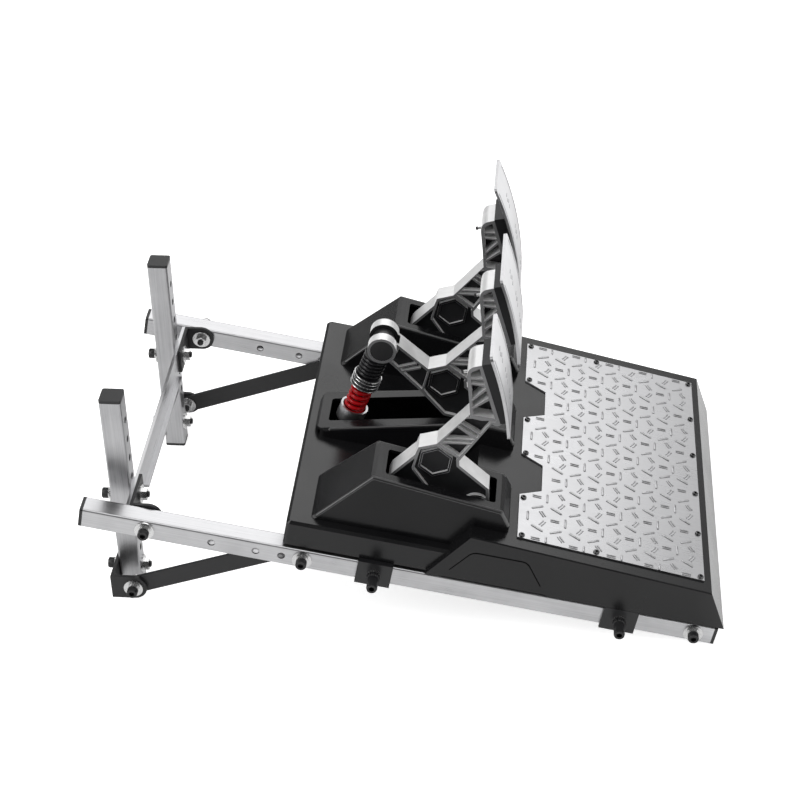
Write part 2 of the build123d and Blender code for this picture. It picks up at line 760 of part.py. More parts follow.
def arm(is_brake):
    """A cast arm with flanges round its edge, a hexagon on its side and openwork up to its head."""
    outline = side_face(arm_outline(is_brake))
    pivot = Pos(0, -pivot_at, pivot_height) * TOWARDS_RIGHT
    body = across(outline, arm_half_width) + pivot * Cylinder(boss_radius, 2 * arm_half_width)
    sides = offset(outline, -arm_flange, kind=Kind.INTERSECTION) - neck_face(is_brake) - hexagon(hexagon_radius)
    for rib in arm_ribs + (brake_ribs if is_brake else []):
        sides -= side_rib(*rib)
    for cutter in both_sides(sides, arm_half_width - side_sink, head_half_width):
        body -= cutter - pivot * Cylinder(boss_radius, 2 * head_half_width)
    for cutter in both_sides(hexagon(hexagon_radius), arm_half_width - hexagon_rim_sink, head_half_width):
        body -= cutter
    inner = hexagon(hexagon_radius - hexagon_rim)
    for cutter in both_sides(inner, arm_half_width - hexagon_face_sink, head_half_width):
        body -= cutter
    head_face = side_face(head_outline(is_brake))
    tip_at, tip_height = pad_point(*head_rear[-1], is_brake)
    head_face = fillet(head_face.vertices().sort_by_distance((0, -tip_at, tip_height))[0], head_corner)
    body += across(head_face, head_half_width)
    for face in openwork(is_brake):
        for cutter in both_sides(face, arm_web / 2, head_half_width):
            body -= cutter
    boss = pad_point(*screw_boss_at, is_brake)
    body += Pos(0, -boss[0], boss[1]) * TOWARDS_RIGHT * Cylinder(screw_boss_radius, 2 * arm_half_width)
    if is_brake:
        body = knuckle(body)
    return body - pivot * Cylinder(pin_diameter / 2 + pin_fit, 4 * arm_half_width)


def knuckle(body):
    """The brake arm with the fork at its rear end that the spring strut hangs on."""
    disc = Pos(0, -knuckle_at, knuckle_height) * TOWARDS_RIGHT
    body += disc * Cylinder(knuckle_radius, 2 * knuckle_half_width)
    body -= disc * Cylinder(knuckle_radius + knuckle_clearance, 2 * knuckle_gap)
    for side in (-1, 1):
        head = disc * Pos(0, 0, side * knuckle_half_width)
        body -= head * Cylinder(pin_head_diameter / 2 + pin_fit, 2 * pin_head_height)
    return body - disc * Cylinder(strut_pin_diameter / 2 + pin_fit, 4 * knuckle_half_width)


def spacer(is_brake):
    """The black wedge between an arm's head and its face plate."""
    proud = face_thickness
    corners = [(spacer_up, spacer_top_depth), (spacer_up, -proud),
               (-spacer_down, -proud), (-spacer_down, spacer_bottom_depth)]
    wedge = side_face([pad_point(*corner, is_brake) for corner in corners])
    axis = face_axis(is_brake)
    inside = Pos(0, -axis[0], axis[1]) * TOWARDS_RIGHT
    return across(wedge, spacer_half_width) & inside * Cylinder(face_radius, 2 * spacer_half_width)


def face_axis(is_brake):
    """Place and height of the line that the face plates are curved about."""
    return pad_point(0, face_radius, is_brake)


def face_plate(width, height, is_brake):
    """A curved plate with rounded corners, centred on the pad."""
    axis = face_axis(is_brake)
    place = Pos(0, -axis[0], axis[1]) * TOWARDS_RIGHT
    skin = place * Cylinder(face_radius + face_thickness, width) - place * Cylinder(face_radius, 2 * width)
    outline = extrude(RectangleRounded(width, height, face_corner), 4 * face_corner, both=True)
    middle_at, middle_height = pad_point(0, 0, is_brake)
    mid = Pos(0, -middle_at, middle_height) * Rot(X=90 - face_lean)
    return skin & mid * outline


# Brake spring strut
strut_length = hypot(knuckle_at - strut_foot_at, knuckle_height - strut_foot_height)
strut_lean = degrees(atan2(knuckle_at - strut_foot_at, knuckle_height - strut_foot_height))
strut_place = Pos(0, -strut_foot_at, strut_foot_height) * Rot(X=strut_lean)
cup_floor = cup_stand + cup_wall
collar_top = collar_at + collar_height
spring_seat_at = strut_length - knuckle_radius - rod_seat_gap - rod_seat


def spring_sleeve(diameter, wire, turns, length):
    """A coil spring drawn as touching round turns, standing on the origin."""
    pitch = length / turns
    mean = (diameter - wire) / 2
    core = Rectangle(wire / 2, length)
    profile = Pos(mean, length / 2) * core
    for number in range(turns):
        profile += Pos(mean, (number + 0.5) * pitch) * Circle(wire / 2)
    return revolve(Plane.XZ * profile, Axis.Z)


def spring_cup():
    """The cup that holds the red spring's lower end, with its pivot eye below."""
    cup = Pos(0, 0, cup_stand + cup_height / 2) * Cylinder(cup_diameter / 2, cup_height)
    room = Pos(0, 0, cup_floor + cup_height / 2) * Cylinder(cup_diameter / 2 - cup_wall, cup_height)
    rod_bore = Pos(0, 0, cup_stand) * Cylinder(rod_diameter / 2 + rod_fit, 4 * cup_wall)
    stem_half = knuckle_gap - eye_side_gap
    stem = slab((-stem_half, stem_half), (-foot_eye_radius, foot_eye_radius), (0, cup_stand))
    eye = TOWARDS_RIGHT * Cylinder(foot_eye_radius, 2 * stem_half)
    pin = TOWARDS_RIGHT * Cylinder(strut_pin_diameter / 2 + pin_fit, 4 * knuckle_gap)
    return cup - room - rod_bore + stem + eye - pin


def strut_rod():
    """The rod with its eye in the knuckle, sliding in the cup below."""
    eye = Pos(0, 0, strut_length) * TOWARDS_RIGHT * Cylinder(eye_radius, 2 * (knuckle_gap - eye_side_gap))
    low = cup_floor + cup_height + rod_end_gap
    bar = Pos(0, 0, (low + strut_length) / 2) * Cylinder(rod_diameter / 2, strut_length - low)
    pin = Pos(0, 0, strut_length) * TOWARDS_RIGHT * Cylinder(strut_pin_diameter / 2 + pin_fit, 4 * knuckle_gap)
    seat = Pos(0, 0, spring_seat_at + rod_seat / 2) * Cylinder(black_spring_diameter / 2, rod_seat)
    return eye + bar + seat - pin


def strut_collar():
    """The sleeve between the two springs, with rings round it."""
    middle = collar_at + collar_height / 2
    sleeve = Pos(0, 0, middle) * Cylinder(collar_diameter / 2, collar_height)
    room = Pos(0, 0, middle - collar_top_wall) * Cylinder(collar_diameter / 2 - collar_wall, collar_height)
    bore = Pos(0, 0, middle) * Cylinder(rod_diameter / 2 + thread_fit, 2 * collar_height)
    for share in (1 / 3, 2 / 3):
        ring = Cylinder(collar_diameter / 2, ring_groove) - Cylinder(collar_diameter / 2 - ring_groove, ring_groove)
        sleeve -= Pos(0, 0, collar_at + share * collar_height) * ring
    return sleeve - room - bore


def strut_mount():
    """The fork on the floor that the cup stands on."""
    top = strut_foot_height + strut_pin_diameter
    cheek = side_face([(strut_foot_at - eye_radius, floor_top), (strut_foot_at + eye_radius, floor_top),
                       (strut_foot_at + foot_eye_radius, top), (strut_foot_at - foot_eye_radius, top)])
    block = across(cheek, knuckle_gap + cheek_thickness)
    room = slab((-knuckle_gap, knuckle_gap), (-strut_foot_at - 2 * eye_radius, -strut_foot_at + 2 * eye_radius),
                (floor_top + cheek_thickness, strut_foot_height + 2 * eye_radius))
    bore = Pos(0, -strut_foot_at, strut_foot_height) * TOWARDS_RIGHT
    return block - room - bore * Cylinder(strut_pin_diameter / 2, 4 * knuckle_gap)


def knuckle_pin():
    """The pin through the knuckle, with a flat round head sunk into each side."""
    pin = strut_pin(knuckle_half_width)
    for side in (-1, 1):
        middle = knuckle_half_width - pin_head_height / 2
        pin += TOWARDS_RIGHT * Pos(0, 0, side * middle) * Cylinder(pin_head_diameter / 2, pin_head_height)
    return pin


def strut_pin(half_length):
    """A pin across the strut, centred on the origin."""
    return TOWARDS_RIGHT * Cylinder(strut_pin_diameter / 2, 2 * half_length)


# The assembly
parts = {}


def add(name, *solids):
    """Keep one node, made of one or more separate solids."""
    pieces = [solid for shape in solids for solid in shape.solids()]
    parts[name] = pieces[0] if len(pieces) == 1 else Compound(pieces)


cap_solids = []
for side, name, outward in ((-1, "left", TOWARDS_LEFT), (1, "right", TOWARDS_RIGHT)):
    add(name + "_rail", rails_place * rail(side))
    add(name + "_post", post(side))
    add(name + "_upper_bracket", upper_bracket(side))
    add(name + "_lower_bracket", lower_bracket(side))
    add(name + "_front_bracket", front_bracket(side))
    add(name + "_brace", brace(side))
    add(name + "_clamp_brackets", clamp_bracket(side, rear_clamp_at), clamp_bracket(side, front_clamp_at))
    cap_solids += rail_caps(side) + post_caps(side)
    fasten_side(side, outward)

front_tube_y = -front_bolt_at + front_bracket_reach - bracket_plate - half_tube
add("rear_strap", rear_strap())
add("front_cross_tube", rails_place * Pos(0, front_tube_y, -half_tube) * front_cross_tube())
add("tube_end_caps", *cap_solids)
add("frame_bolts", *frame_bolts)
add("frame_washers", *frame_washers)
add("frame_nuts", *frame_nuts)
add("clamp_screws", *clamp_screws)

add("base_deck", rails_place * base_deck_solid())
add("base_floor", rails_place * base_floor_solid())
add("tread_plate", rails_place * tread_plate())

pedals = (("clutch", -pedal_pitch, clutch_face_width, clutch_face_height),
          ("brake", 0, brake_face_width, brake_face_height),
          ("gas", pedal_pitch, gas_face_width, gas_face_height))
pivot_brackets = []
pivot_pins = []
for name, x, width, height in pedals:
    place = rails_place * Pos(x, 0, 0)
    is_brake = name == "brake"
    add(name + "_housing", place * housing(is_brake))
    add(name + "_arm", place * arm(is_brake))
    add(name + "_spacer", place * spacer(is_brake))
    add(name + "_face", place * face_plate(width, height, is_brake))
    pivot_brackets.append(place * pivot_bracket())
    pivot_pins.append(place * pivot_pin())
strut = rails_place * strut_place
pivot_pins.append(strut * strut_pin(knuckle_gap + cheek_thickness))
add("pivot_brackets", *pivot_brackets)
add("pivot_pins", *pivot_pins)

red_spring = spring_sleeve(red_spring_diameter, red_spring_wire, red_spring_turns, collar_at - cup_floor)
black_spring = spring_sleeve(black_spring_diameter, black_spring_wire, black_spring_turns,
                             spring_seat_at - collar_top)
add("strut_mount", rails_place * strut_mount())
add("strut_cup", strut * spring_cup())
add("strut_rod", strut * strut_rod())
add("strut_collar", strut * strut_collar())
add("strut_red_spring", strut * Pos(0, 0, cup_floor) * red_spring)
add("strut_black_spring", strut * Pos(0, 0, collar_top) * black_spring)
add("knuckle_pin", strut * Pos(0, 0, strut_length) * knuckle_pin())

# The origin goes to the middle of the footprint, on the ground
whole = Compound([solid for piece in parts.values() for solid in piece.solids()]).bounding_box()
centre = Pos(0, -(whole.min.Y + whole.max.Y) / 2, 0)
os.makedirs("parts", exist_ok=True)
for name, piece in parts.items():
    export_step(centre * piece, "parts/" + name + ".step")
print("rail slope", round(rail_slope, 3), "rear top", round(rail_rear_top, 2))
print("box", whole.min, whole.max)
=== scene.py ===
from math import atan2, cos, hypot, pi, radians, sin, sqrt, tau

import bmesh
import bpy
from mathutils import Matrix, Vector


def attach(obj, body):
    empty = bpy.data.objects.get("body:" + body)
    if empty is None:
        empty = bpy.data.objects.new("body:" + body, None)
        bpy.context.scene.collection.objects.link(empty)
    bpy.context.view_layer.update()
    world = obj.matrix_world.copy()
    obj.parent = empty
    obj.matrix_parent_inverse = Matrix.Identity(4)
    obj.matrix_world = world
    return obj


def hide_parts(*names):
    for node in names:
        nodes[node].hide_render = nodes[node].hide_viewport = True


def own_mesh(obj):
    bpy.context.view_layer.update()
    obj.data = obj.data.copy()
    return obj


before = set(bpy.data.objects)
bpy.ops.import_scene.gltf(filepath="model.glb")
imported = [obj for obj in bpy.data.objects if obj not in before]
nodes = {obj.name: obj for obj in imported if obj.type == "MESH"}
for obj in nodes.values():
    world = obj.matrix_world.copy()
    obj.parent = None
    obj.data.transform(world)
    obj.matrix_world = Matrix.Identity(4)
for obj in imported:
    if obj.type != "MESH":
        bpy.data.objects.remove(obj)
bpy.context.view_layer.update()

# Frames that the details are measured in, in metres and degrees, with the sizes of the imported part
RAIL_SLOPE = 10.868
TREAD_START = 0.345
PAD_LEAN = -21.5
BRAKE_PAD_AHEAD = 0.0048
RAILS = Matrix.Translation((0, 0.28516, 0.12957)) @ Matrix.Rotation(radians(RAIL_SLOPE), 4, "X")
TREAD = RAILS @ Matrix.Translation((0, -TREAD_START, 0.055)) @ Matrix.Rotation(atan2(13, 221), 4, "X")
STRUT = RAILS @ Matrix.Translation((0, -0.2186, 0.025)) @ Matrix.Rotation(atan2(18.9, 102.3), 4, "X")
PEDALS = {"clutch": -0.122, "brake": 0.0, "gas": 0.122}


def pad_frame(name):
    """Frame of a pedal's pad: X across, Y behind the face, Z up it. The brake's stands further ahead."""
    ahead = BRAKE_PAD_AHEAD if name == "brake" else 0
    middle = RAILS @ Matrix.Translation((PEDALS[name], -0.3422, 0.1976))
    return middle @ Matrix.Rotation(radians(PAD_LEAN), 4, "X") @ Matrix.Translation((0, -ahead, 0))


# Camera at the photograph's viewing angle: azimuth, elevation and roll
CAMERA_ANGLES = (-84.54, 35.39, 1.25)
CAMERA_PLACE = (-1.4998, -0.1298, 1.2133)
SENSOR_WIDTH = 36.0
FOCAL_PIXELS = 1945.26
IMAGE_WIDTH = 800


def add_camera():
    azimuth, elevation, roll = map(radians, CAMERA_ANGLES)
    back = Vector((sin(azimuth) * cos(elevation), -cos(azimuth) * cos(elevation), sin(elevation)))
    right = (-back).cross(Vector((0, 0, 1))).normalized()
    down = (-back).cross(right)
    across = cos(roll) * right + sin(roll) * down
    below = -sin(roll) * right + cos(roll) * down
    turn = Matrix((across, -below, back)).transposed().to_4x4()
    data = bpy.data.cameras.new("photo_camera")
    data.sensor_width = SENSOR_WIDTH
    data.lens = SENSOR_WIDTH * FOCAL_PIXELS / IMAGE_WIDTH
    data.clip_end = 20
    camera = bpy.data.objects.new("photo_camera", data)
    camera.matrix_world = Matrix.Translation(CAMERA_PLACE) @ turn
    bpy.context.collection.objects.link(camera)
    bpy.context.scene.camera = camera


# Mesh helpers
def finish_piece(name, bm, body, material, smooth=True):
    """Turns a bmesh into a piece that rides on a body and shows a material."""
    mesh = bpy.data.meshes.new(name)
    bmesh.ops.recalc_face_normals(bm, faces=bm.faces)
    bm.to_mesh(mesh)
    bm.free()
    piece = bpy.data.objects.new(name, mesh)
    bpy.context.collection.objects.link(piece)
    mesh.materials.append(material)
    if smooth:
        mesh.shade_smooth()
        mesh.set_sharp_from_angle(angle=radians(35))
    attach(piece, body)
    return piece


def add_copies(bm, shape, places):
    """Adds a small shape to a bmesh once for each place, and frees the shape."""
    mesh = bpy.data.meshes.new("shape")
    shape.to_mesh(mesh)
    shape.free()
    for place in places:
        before = len(bm.verts)
        bm.from_mesh(mesh)
        bm.verts.ensure_lookup_table()
        bmesh.ops.transform(bm, matrix=place, verts=bm.verts[before:])
    bpy.data.meshes.remove(mesh)


def turned(bm, profile, steps):
    """Spins a profile of radii and heights about Z, and returns the new vertices."""
    before = set(bm.verts)
    verts = [bm.verts.new((radius, 0, height)) for radius, height in profile]
    edges = [bm.edges.new(pair) for pair in zip(verts, verts[1:])]
    bmesh.ops.spin(bm, geom=verts + edges, cent=(0, 0, 0), axis=(0, 0, 1), angle=tau, steps=steps,
                   use_merge=True)
    made = [v for v in bm.verts if v not in before]
    bmesh.ops.remove_doubles(bm, verts=made, dist=1e-6)
    return [v for v in bm.verts if v not in before]


def socket_head(bm, radius, height, key, ridges, depth, dome=0.0):
    """A screw head from Z = 0 up to its height, with ridges round it and a hexagon socket."""
    count = 6 * max(4, round(ridges / 3))
    foot = bmesh.ops.create_circle(bm, segments=count, radius=radius)["verts"]
    if ridges:
        for number, vert in enumerate(foot):
            if number % 2:
                vert.co *= 0.955
    rim = 0.12 * height
    loops = [[e for e in bm.edges if e.verts[0] in foot and e.verts[1] in foot]]
    for radius_at, level in ((1.0, height - rim - dome), (0.9, height - 0.4 * dome), (0.72, height)):
        made = bmesh.ops.extrude_edge_only(bm, edges=loops[-1])["geom"]
        ring = [v for v in made if isinstance(v, bmesh.types.BMVert)]
        for vert in ring:
            if radius_at < 1:
                flat = Vector((vert.co.x, vert.co.y, 0)).normalized() * radius * radius_at
                vert.co = (flat.x, flat.y, level)
            else:
                vert.co.z = level
        loops.append([e for e in made if isinstance(e, bmesh.types.BMEdge) and
                      abs(e.verts[0].co.z - level) < 1e-7 and abs(e.verts[1].co.z - level) < 1e-7])
    corner = bmesh.ops.create_circle(bm, segments=6, radius=key / sqrt(3))["verts"]
    sides = [e for e in bm.edges if e.verts[0] in corner and e.verts[1] in corner]
    bmesh.ops.translate(bm, vec=(0, 0, height), verts=corner)
    cut = bmesh.ops.subdivide_edges(bm, edges=sides, cuts=count // 6 - 1)["geom_split"]
    mouth = [e for e in cut if isinstance(e, bmesh.types.BMEdge)]
    bmesh.ops.bridge_loops(bm, edges=loops[-1] + mouth)
    made = bmesh.ops.extrude_edge_only(bm, edges=mouth)["geom"]
    floor = [v for v in made if isinstance(v, bmesh.types.BMVert)]
    bmesh.ops.translate(bm, vec=(0, 0, -depth), verts=floor)
    bmesh.ops.holes_fill(bm, edges=[e for e in made if isinstance(e, bmesh.types.BMEdge) and e.is_boundary])
    bmesh.ops.holes_fill(bm, edges=loops[0])


def thread_profile(radius, top, bottom, pitch=0.001):
    """Radii and heights of a thread from one height down to a lower one."""
    points = []
    teeth = round((top - bottom) / pitch)
    for number in range(teeth):
        level = top - number * pitch
        points += [(radius * 0.9, level), (radius, level - 0.35 * pitch), (radius, level - 0.65 * pitch)]
    return points + [(radius * 0.9, bottom), (radius * 0.7, bottom - 0.3 * pitch), (0, bottom - 0.3 * pitch)]


# Places of the screws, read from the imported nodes
def separate_solids(node):
    """Vertices of each separate solid of a node."""
    bm = bmesh.new()
    bm.from_mesh(nodes[node].data)
    bmesh.ops.remove_doubles(bm, verts=bm.verts, dist=1e-6)
    left = set(bm.verts)
    groups = []
    while left:
        queue = [left.pop()]
        group = list(queue)
        while queue:
            for edge in queue.pop().link_edges:
                for vert in edge.verts:
                    if vert in left:
                        left.remove(vert)
                        queue.append(vert)
                        group.append(vert)
        groups.append([v.co.copy() for v in group])
    bm.free()
    return groups


def screw_places(node, head_radius):
    """The place of each screw's head top, with +Z out of it, and the screw's length."""
    rails = RAILS.to_3x3()
    axes = [Vector((1, 0, 0)), Vector((0, 1, 0)), Vector((0, 0, 1)), rails.col[1], rails.col[2]]
    found = []
    for points in separate_solids(node):
        best = None
        for axis in axes:
            along = [p.dot(axis) for p in points]
            flat = [p - axis * p.dot(axis) for p in points]
            middle = sum(flat, Vector()) / len(flat)
            spread = max((p - middle).length for p in flat)
            if best is None or spread < best[0]:
                best = spread, axis, along, flat, middle
        spread, axis, along, flat, middle = best
        wide = [a for a, p in zip(along, flat) if (p - middle).length > 0.8 * head_radius]
        if max(wide) < (max(along) + min(along)) / 2:
            axis, along, wide = -axis, [-a for a in along], [-a for a in wide]
        box_middle = Vector([(min(p[i] for p in flat) + max(p[i] for p in flat)) / 2 for i in range(3)])
        top = box_middle + axis * (max(along) - box_middle.dot(axis))
        turn = axis.to_track_quat("Z", "Y").to_matrix().to_4x4()
        found.append((Matrix.Translation(top) @ turn, max(along) - min(along)))
    return found


# Shader helpers
def new_material(name, colour, metallic, roughness, specular=0.5):
    material = bpy.data.materials.new(name)
    material.use_nodes = True
    shader = material.node_tree.nodes["Principled BSDF"]
    shader.inputs["Base Color"].default_value = (*colour, 1)
    shader.inputs["Metallic"].default_value = metallic
    shader.inputs["Roughness"].default_value = roughness
    shader.inputs["Specular IOR Level"].default_value = specular
    material.diffuse_color = (*colour, 1)
    return material, material.node_tree, shader


def link(tree, source, output, target, socket):
    tree.links.new(source.outputs[output], target.inputs[socket])


def feed(tree, target, socket, term):
    """Sets a socket to a number, or links it to a term: a node with the name of its output."""
    if isinstance(term, tuple):
        link(tree, *term, target, socket)
    else:
        target.inputs[socket].default_value = term


def calculated(tree, operation, *terms):
    made = tree.nodes.new("ShaderNodeMath")
    made.operation = operation
    for socket, term in enumerate(terms):
        feed(tree, made, socket, term)
    return made


def mixed_level(tree, factor, first, second):
    made = tree.nodes.new("ShaderNodeMix")
    for socket, term in (("Factor", factor), ("A", first), ("B", second)):
        feed(tree, made, socket, term)
    return made


def mixed_colour(tree, factor, first, second):
    """The output of a mix of two colours, each a plain colour or an output."""
    made = tree.nodes.new("ShaderNodeMix")
    made.data_type = "RGBA"
    feed(tree, made, "Factor", factor)
    for socket, colour in ((6, first), (7, second)):
        if isinstance(colour, tuple):
            made.inputs[socket].default_value = (*colour, 1)
        else:
            tree.links.new(colour, made.inputs[socket])
    return made.outputs[2]


def ranged(tree, source, output, start, end, low=0.0, high=1.0):
    """Maps one range of values to another."""
    made = tree.nodes.new("ShaderNodeMapRange")
    made.inputs["From Min"].default_value = start
    made.inputs["From Max"].default_value = end
    made.inputs["To Min"].default_value = low
    made.inputs["To Max"].default_value = high
    link(tree, source, output, made, "Value")
    return made


def coordinates(tree, output):
    """The three parts of a texture coordinate."""
    place = tree.nodes.new("ShaderNodeTexCoord")
    parts = tree.nodes.new("ShaderNodeSeparateXYZ")
    link(tree, place, output, parts, "Vector")
    return parts


def mapped(tree, scale, turn=0.0):
    """Object coordinates turned back about X and scaled, so that a grain follows a sloping part."""
    place = tree.nodes.new("ShaderNodeTexCoord")
    turned_back = tree.nodes.new("ShaderNodeMapping")
    turned_back.inputs["Rotation"].default_value = (-radians(turn), 0, 0)
    stretch = tree.nodes.new("ShaderNodeMapping")
    stretch.inputs["Scale"].default_value = scale
    link(tree, place, "Object", turned_back, "Vector")
    link(tree, turned_back, "Vector", stretch, "Vector")
    return stretch


def noise(tree, vector, scale, detail=3.0, rough=0.55):
    made = tree.nodes.new("ShaderNodeTexNoise")
    made.inputs["Scale"].default_value = scale
    made.inputs["Detail"].default_value = detail
    made.inputs["Roughness"].default_value = rough
    link(tree, vector, "Vector", made, "Vector")
    return made


# Usual range of a noise texture's values
NOISE_LOW, NOISE_HIGH = 0.3, 0.7


def spread(tree, source, low, high, output="Fac"):
    """Maps a texture's usual range to a range of values."""
    return ranged(tree, source, output, NOISE_LOW, NOISE_HIGH, low, high)


def tint(tree, source, dark, pale, output="Fac"):
    """A colour ramp between two colours over a texture's usual range."""
    ramp = tree.nodes.new("ShaderNodeValToRGB")
    for element, position, colour in zip(ramp.color_ramp.elements, (NOISE_LOW, NOISE_HIGH), (dark, pale)):
        element.position = position
        element.color = (*colour, 1)
    link(tree, source, output, ramp, "Fac")
    return ramp


def add_bump(tree, shader, source, distance, strength=0.5, output="Fac"):
    bump = tree.nodes.new("ShaderNodeBump")
    bump.inputs["Strength"].default_value = strength
    bump.inputs["Distance"].default_value = distance
    link(tree, source, output, bump, "Height")
    link(tree, bump, "Normal", shader, "Normal")
    return bump


def brushed_metal(name, dark, pale, grain, turn=0.0, rough=(0.25, 0.4), bump=0.00004):
    """Metal with a fine grain drawn along one direction and slow stains over it."""
    material, tree, shader = new_material(name, pale, 1.0, 0.3)
    fine = noise(tree, mapped(tree, grain, turn), 1.0, 4.0, 0.6)
    slow = noise(tree, mapped(tree, (1, 1, 1), turn), 26.0, 3.0)
    both = mixed_level(tree, 0.45, (fine, "Fac"), (slow, "Fac"))
    ramp = tint(tree, both, dark, pale, "Result")
    link(tree, ramp, "Color", shader, "Base Color")
    level = spread(tree, both, rough[0], rough[1], "Result")
    link(tree, level, "Result", shader, "Roughness")
    add_bump(tree, shader, fine, bump, 0.35)
    return material


def moulded_plastic(name, dark, pale, rough, grain=2600.0, bump=0.00006, specular=0.5):
    """Moulded or powder-coated black with a fine even texture."""
    material, tree, shader = new_material(name, pale, 0.0, rough[0], specular)
    place = mapped(tree, (1, 1, 1))
    slow = noise(tree, place, 14.0, 3.0)
    ramp = tint(tree, slow, dark, pale)
    link(tree, ramp, "Color", shader, "Base Color")
    level = spread(tree, slow, rough[0], rough[1])
    link(tree, level, "Result", shader, "Roughness")
    add_bump(tree, shader, noise(tree, place, grain, 2.0, 0.6), bump, 0.4)
    return material


def cast_arm_metal(name, x):
    """Cast metal with bright edges, dull side rims darkened by painted shade on every sideways face, and the
    sunk middle of each side painted black.
    """
    material, tree, shader = new_material(name, (0.6, 0.6, 0.6), 1.0, 0.3, 0.15)
    away = calculated(tree, "SUBTRACT", (coordinates(tree, "Object"), "X"), x)
    beside = calculated(tree, "ABSOLUTE", (away, "Value"))
    sideways = calculated(tree, "ABSOLUTE", (coordinates(tree, "Normal"), "X"))
    sunk = ranged(tree, beside, "Value", 0.00945, 0.0097, 1.0, 0.0)
    side = ranged(tree, sideways, "Value", 0.55, 0.75)
    paint = calculated(tree, "MULTIPLY", (sunk, "Result"), (side, "Result"))
    around = mapped(tree, (1, 1, 1))
    grain = noise(tree, around, 900.0, 4.0, 0.65)
    slow = noise(tree, around, 60.0, 3.0)
    metal = tint(tree, slow, (0.78, 0.78, 0.78), (0.92, 0.92, 0.92))
    # Painted shade: faces that look sideways get a dull dark grey in place of the bright metal
    side_shaded = mixed_colour(tree, (side, "Result"), metal.outputs["Color"], (0.2, 0.2, 0.204))
    painted = mixed_colour(tree, (paint, "Value"), side_shaded, (0.013, 0.013, 0.014))
    tree.links.new(painted, shader.inputs["Base Color"])
    metallic = calculated(tree, "MULTIPLY_ADD", (paint, "Value"), -0.55, 0.55)
    link(tree, metallic, "Value", shader, "Metallic")
    level = spread(tree, slow, 0.34, 0.46)
    link(tree, level, "Result", shader, "Roughness")
    add_bump(tree, shader, grain, 0.00012, 0.4)
    return material


def raised_metal(name, normal):
    """Metal of raised bars with painted shade: bright on top, and dark on the flanks that lean away from the
    plate's normal.
    """
    material, tree, shader = new_material(name, (0.5, 0.5, 0.5), 1.0, 0.3)
    place = tree.nodes.new("ShaderNodeTexCoord")
    facing = tree.nodes.new("ShaderNodeVectorMath")
    facing.operation = "DOT_PRODUCT"
    facing.inputs[1].default_value = normal
    link(tree, place, "Normal", facing, 0)
    # Painted shade: faces that lean away from the plate's normal get a darker grey than the bar tops
    top = ranged(tree, facing, "Value", 0.8, 0.99)
    worn = noise(tree, mapped(tree, (1, 1, 1)), 300.0)
    bright = tint(tree, worn, (0.42, 0.42, 0.43), (0.6, 0.6, 0.61))
    colour = mixed_colour(tree, (top, "Result"), (0.34, 0.34, 0.343), bright.outputs["Color"])
    tree.links.new(colour, shader.inputs["Base Color"])
    level = spread(tree, worn, 0.25, 0.4)
    link(tree, level, "Result", shader, "Roughness")
    return material


# Finishes
TUBE_STEEL = brushed_metal("brushed_tube_steel", (0.45, 0.45, 0.46), (0.66, 0.66, 0.67), (900, 14, 900),
                           RAIL_SLOPE)
POST_STEEL = brushed_metal("brushed_post_steel", (0.38, 0.38, 0.39), (0.6, 0.6, 0.61), (900, 900, 14))
CROSS_STEEL = brushed_metal("brushed_cross_steel", (0.42, 0.42, 0.43), (0.64, 0.64, 0.65), (14, 900, 900))
ZINC = brushed_metal("bright_washer_zinc", (0.6, 0.6, 0.6), (0.8, 0.8, 0.8), (700, 700, 700),
                     rough=(0.2, 0.32))
SCREW_BLACK = moulded_plastic("screw_black", (0.006, 0.006, 0.007), (0.014, 0.014, 0.015), (0.28, 0.42),
                              900.0)
BRACE_BLACK = moulded_plastic("coated_brace_black", (0.008, 0.008, 0.009), (0.016, 0.016, 0.017),
                              (0.42, 0.55))
CAP_BLACK = moulded_plastic("cap_black", (0.01, 0.01, 0.011), (0.018, 0.018, 0.019), (0.4, 0.5))
BASE_BLACK = moulded_plastic("moulded_base_black", (0.005, 0.005, 0.0055), (0.008, 0.008, 0.0085),
                             (0.2, 0.28), specular=0.4)
HOUSING_BLACK = moulded_plastic("moulded_housing_black", (0.004, 0.004, 0.0045), (0.007, 0.007, 0.0075),
                                (0.2, 0.28), specular=0.28)
EDGE_BLACK = moulded_plastic("rounded_edge_black", (0.005, 0.005, 0.0055), (0.008, 0.008, 0.0085),
                             (0.26, 0.34), specular=1.0)
PAD_BLACK = moulded_plastic("pad_black", (0.006, 0.006, 0.007), (0.012, 0.012, 0.013), (0.3, 0.4),
                            specular=0.25)
# Painted shadow: near-black matt finish for the strips that stand for the shade in the panel gaps
GROOVE_SHADOW_BLACK = moulded_plastic("painted_groove_shadow", (0.001, 0.001, 0.001), (0.002, 0.002, 0.002), (0.7, 0.8),
                               specular=0.05)
TREAD_METAL = brushed_metal("tread_aluminium", (0.49, 0.49, 0.5), (0.58, 0.58, 0.59), (700, 30, 700),
                            14.2, (0.24, 0.36))
TREAD_SCREW = brushed_metal("tread_screw_steel", (0.08, 0.08, 0.082), (0.17, 0.17, 0.172), (400, 400, 400),
                            rough=(0.15, 0.25))
PATTERN_METAL = raised_metal("tread_bar_metal", TREAD.to_3x3().col[2])
FACE_METAL = brushed_metal("face_plate_metal", (0.42, 0.42, 0.43), (0.6, 0.6, 0.61), (900, 24, 24),
                           -10.6, (0.26, 0.38))
PIN_STEEL = brushed_metal("pin_steel", (0.2, 0.2, 0.21), (0.36, 0.36, 0.37), (400, 400, 400),
                          rough=(0.25, 0.4))
PIN_BLACK = moulded_plastic("pin_black", (0.01, 0.01, 0.011), (0.02, 0.02, 0.021), (0.3, 0.42), 900.0)
STRUT_STEEL = brushed_metal("strut_steel", (0.5, 0.5, 0.51), (0.6, 0.6, 0.61), (60, 60, 200),
                            rough=(0.3, 0.4), bump=0.00001)
